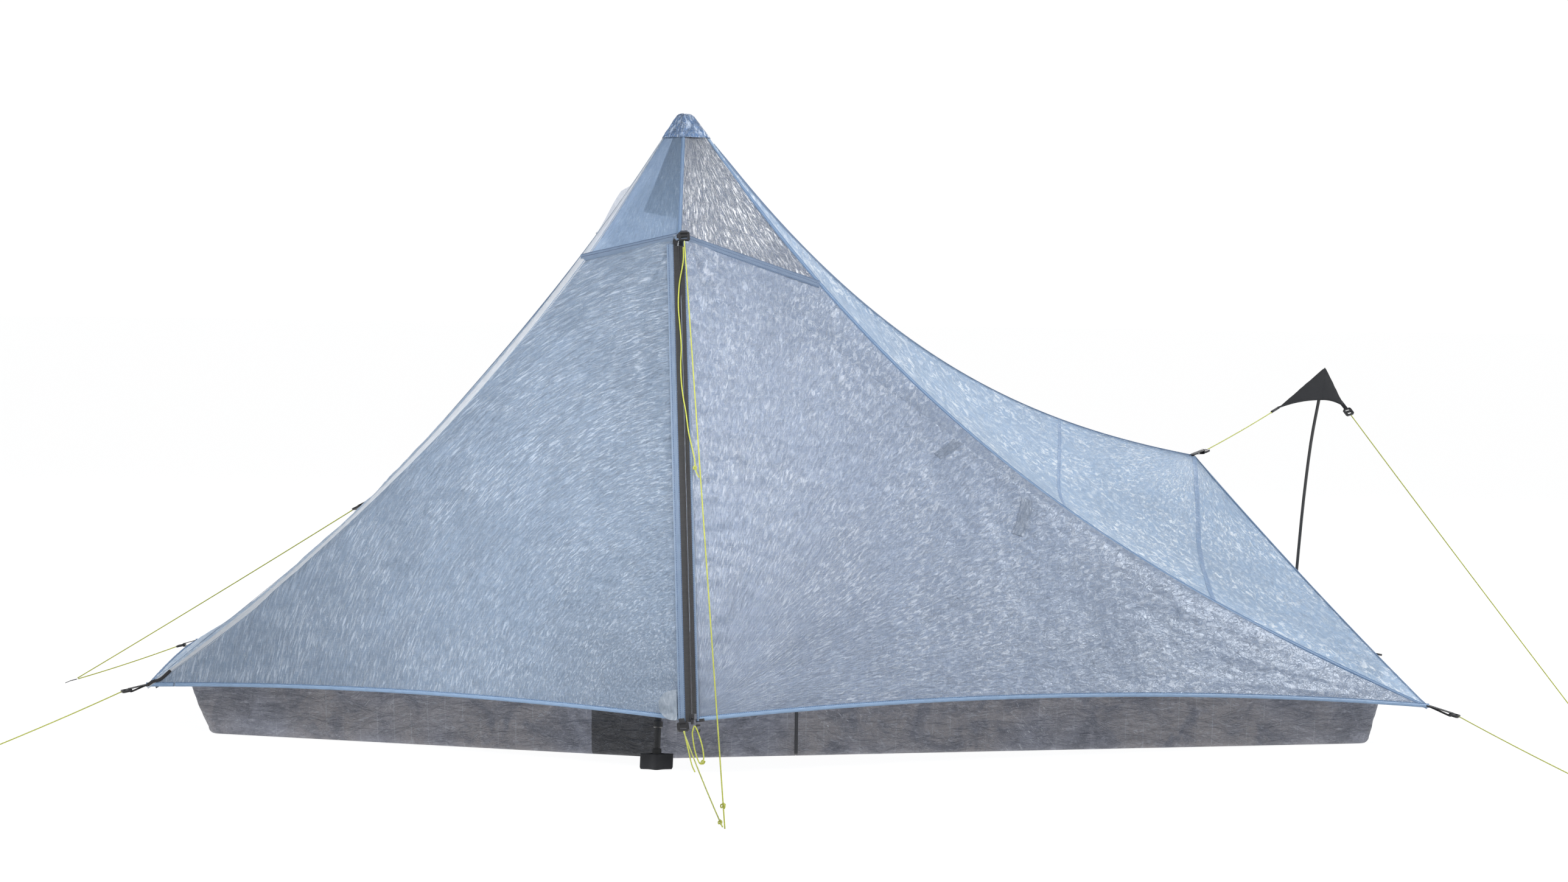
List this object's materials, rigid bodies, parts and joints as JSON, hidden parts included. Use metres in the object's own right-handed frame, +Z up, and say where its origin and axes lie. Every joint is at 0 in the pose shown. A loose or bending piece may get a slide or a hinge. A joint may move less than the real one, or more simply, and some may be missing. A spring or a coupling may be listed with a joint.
{
  "type": "single pole tent",
  "caption": "Low one-person shelter held up by one front pole, with a bathtub floor, two storm doors that close on a zipper, and guylines with cord locks.",
  "frame": {"origin": "on the flat underside of the tub floor, midway between its two front corners", "axes": "+X along the floor towards the end that the thin lift pole raises, -Y towards the doors, +Z up"},
  "size_m": [3.2494, 1.9545, 1.2032],
  "materials": {
    "roof_cloth": "light blue translucent non-woven laminate with a fine crinkle",
    "door_cloth": "paler blue-grey translucent non-woven laminate with a fine crinkle",
    "floor_cloth": "mid-grey laminate, slightly wrinkled",
    "netting": "fine dark mesh",
    "webbing": "black woven webbing or heavy cloth",
    "black_nylon": "moulded, satin",
    "cord": "lime yellow braided cord",
    "zip_tape": "woven tape with a coated coil",
    "slider_metal": "black enamelled",
    "pole_tube": "black, satin",
    "lift_tube": "black carbon fibre tube",
    "foot_rubber": "moulded"
  },
  "bodies": {
    "canopy": {"peak_panel_left": "roof_cloth", "peak_panel_right": "roof_cloth", "front_gore_left": "door_cloth", "front_gore_right": "door_cloth", "roof_panel_left": "roof_cloth", "roof_panel_right": "roof_cloth", "end_wall_left": "roof_cloth", "end_wall_right": "roof_cloth", "rear_panel": "roof_cloth", "vent_hood": "roof_cloth", "peak_cone": "roof_cloth", "vent_mesh": "netting", "peak_cup": "webbing", "tub_left": "floor_cloth", "tub_right": "floor_cloth", "net_front_left": "netting", "net_gore_right": "netting", "left_door_lock": "black_nylon", "zip_top_lock": "black_nylon", "lift_lock": "black_nylon", "rear_right_fitting": "black_nylon", "stake_tab": "webbing", "tieback_upper": "webbing", "tieback_lower": "webbing", "pole_upper": "pole_tube", "foot_pocket": "webbing", "pole_clamp": "black_nylon", "lift_pole": "lift_tube", "lift_cap": "webbing", "front_left_web": "webbing", "front_left_lock": "black_nylon", "front_right_web": "webbing", "front_right_lock": "black_nylon", "rear_left_web": "webbing", "rear_left_lock": "black_nylon", "guy_left_web": "webbing", "guy_left_lock": "black_nylon", "guy_right_web": "webbing", "guy_right_lock": "black_nylon", "front_cord": "cord", "door_cord": "cord", "front_left_cord": "cord", "front_right_cord": "cord", "rear_left_cord": "cord", "guy_left_cord": "cord", "guy_right_cord": "cord", "lift_cord": "cord"},
    "left_door": {"left_door": "door_cloth", "zip_tape_left": "zip_tape"},
    "right_door": {"right_door": "door_cloth", "zip_tape_right": "zip_tape", "right_door_hook": "black_nylon", "hook_loop": "cord", "front_tail": "cord"},
    "net_door": {"net_door": "netting"},
    "zip_slider": {"zip_slider": "slider_metal"},
    "zip_pull": {"zip_pull": "slider_metal"},
    "pole_lower": {"pole_lower": "pole_tube", "pole_foot": "foot_rubber"},
    "pole_lever": {"pole_lever": "black_nylon"}
  },
  "joints": [
    {"name": "left_door_swing", "type": "hinge", "parent": "canopy", "child": "left_door", "pos_m": [-0.2207, -0.245, 0.9731], "axis": [-0.7329, 0.1516, -0.6632], "range_deg": [0, 90]},
    {"name": "right_door_swing", "type": "hinge", "parent": "canopy", "child": "right_door", "pos_m": [-0.2207, -0.245, 0.9731], "axis": [-0.8082, -0.0883, 0.5822], "range_deg": [0, 90]},
    {"name": "net_door_swing", "type": "hinge", "parent": "canopy", "child": "net_door", "pos_m": [-0.211, -0.118, 1.095], "axis": [0.7038, 0.0144, -0.7102], "range_deg": [0, 45]},
    {"name": "zip_slide", "type": "slide", "parent": "left_door", "child": "zip_slider", "axis": [-0.039, 0.33, 0.9432], "range_m": [0, 0.86]},
    {"name": "zip_pull_hinge", "type": "hinge", "parent": "zip_slider", "child": "zip_pull", "pos_m": [-0.18531, -0.54993, 0.11949], "axis": [-0.9992, -0.0129, -0.0368], "range_deg": [0, 150]},
    {"name": "pole_telescope", "type": "slide", "parent": "canopy", "child": "pole_lower", "axis": [0.0301, 0.2052, 0.9783], "range_m": [0, 0.25]},
    {"name": "pole_lever_hinge", "type": "hinge", "parent": "canopy", "child": "pole_lever", "pos_m": [-0.2489, -0.2618, 0.58923], "axis": [0, 0.9787, -0.2053], "range_deg": [0, 110]}
  ]
}
